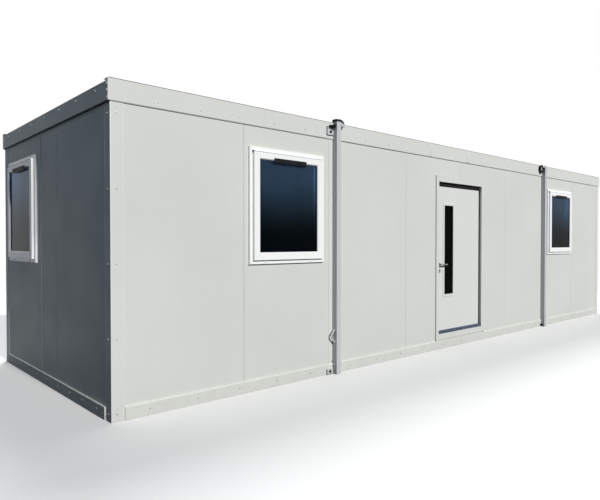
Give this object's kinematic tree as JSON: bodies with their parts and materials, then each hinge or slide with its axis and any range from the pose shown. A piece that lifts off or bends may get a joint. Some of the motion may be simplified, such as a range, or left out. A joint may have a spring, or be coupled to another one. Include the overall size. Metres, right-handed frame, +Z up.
{
  "type": "portable site cabin",
  "caption": "Long flat-roofed portable site cabin of pale sandwich panels in a core and hinged end wings, with plastic windows and an inward opening steel door.",
  "frame": {"origin": "on the ground at the middle of the footprint", "axes": "+X along the length to the right when facing the door side, +Y from the door side to the back, +Z up"},
  "size_m": [9.4104, 2.972, 2.566],
  "materials": {
    "base_steel": "satin paint on cold-formed steel, dusty",
    "black_steel": "satin black paint",
    "door_frame_paint": "satin paint",
    "door_glass": "dark glazing",
    "door_paint": "satin paint",
    "fascia": "satin prepainted sheet",
    "floor": "phenolic-faced plywood, matt",
    "furniture_metal": "satin",
    "post_paint": "satin paint",
    "roof_sheet": "satin prepainted sheet, weathered",
    "threshold_metal": "worn mill finish",
    "trim": "satin prepainted sheet",
    "vent_plastic": "matt dark grey",
    "wall_panel": "satin prepainted sheet on foam core",
    "window_glass": "clear double glazing",
    "window_plastic": "smooth white",
    "zinc_steel": "zinc plated, dull"
  },
  "bodies": {
    "cabin": {"back_left_corner_trim": "trim", "back_left_post": "post_paint", "back_right_corner_trim": "trim", "back_right_post": "post_paint", "core_back_fascia": "fascia", "core_back_wall": "wall_panel", "core_base_frame": "base_steel", "core_floor": "floor", "core_front_fascia": "fascia", "core_front_wall_left_of_door": "wall_panel", "core_front_wall_over_door": "wall_panel", "core_front_wall_right_of_door": "wall_panel", "core_roof": "roof_sheet", "door_frame": "door_frame_paint", "door_threshold": "threshold_metal", "front_left_corner_trim": "trim", "front_left_post": "post_paint", "front_right_corner_trim": "trim", "front_right_post": "post_paint", "head_gussets": "post_paint", "lashing_eyes": "post_paint", "left_end_wall": "wall_panel", "left_end_window_frame": "window_plastic", "left_end_window_sash": "window_plastic", "left_fold_cover": "roof_sheet", "left_wing_back_wall": "wall_panel", "left_wing_base_frame": "base_steel", "left_wing_fascia": "fascia", "left_wing_floor": "floor", "left_wing_front_wall": "wall_panel", "left_wing_roof": "roof_sheet", "left_wing_window_frame": "window_plastic", "left_wing_window_sash": "window_plastic", "lifting_lugs": "black_steel", "right_end_wall": "wall_panel", "right_end_window_frame": "window_plastic", "right_end_window_sash": "window_plastic", "right_fold_cover": "roof_sheet", "right_wing_back_wall": "wall_panel", "right_wing_base_frame": "base_steel", "right_wing_fascia": "fascia", "right_wing_floor": "floor", "right_wing_front_wall": "wall_panel", "right_wing_roof": "roof_sheet", "right_wing_window_frame": "window_plastic", "right_wing_window_sash": "window_plastic", "window_glass": "window_glass", "window_vents": "vent_plastic", "wing_hinge_brackets": "zinc_steel"},
    "door": {"door_leaf": "door_paint", "door_vision_frame": "door_paint", "door_vision_glass": "door_glass", "door_lock_trim": "furniture_metal"},
    "lever": {"door_lever": "furniture_metal"}
  },
  "joints": [
    {"name": "door_hinge", "type": "hinge", "parent": "cabin", "child": "door", "pos_m": [0.5175, -1.33, 1.1], "axis": [0, 0, -1], "range_deg": [0, 95]},
    {"name": "lever_turn", "type": "hinge", "parent": "door", "child": "lever", "pos_m": [-0.442, -1.3675, 1.045], "axis": [0, 1, 0], "range_deg": [0, 45], "stiffness_Nm_per_rad": 1.2}
  ]
}
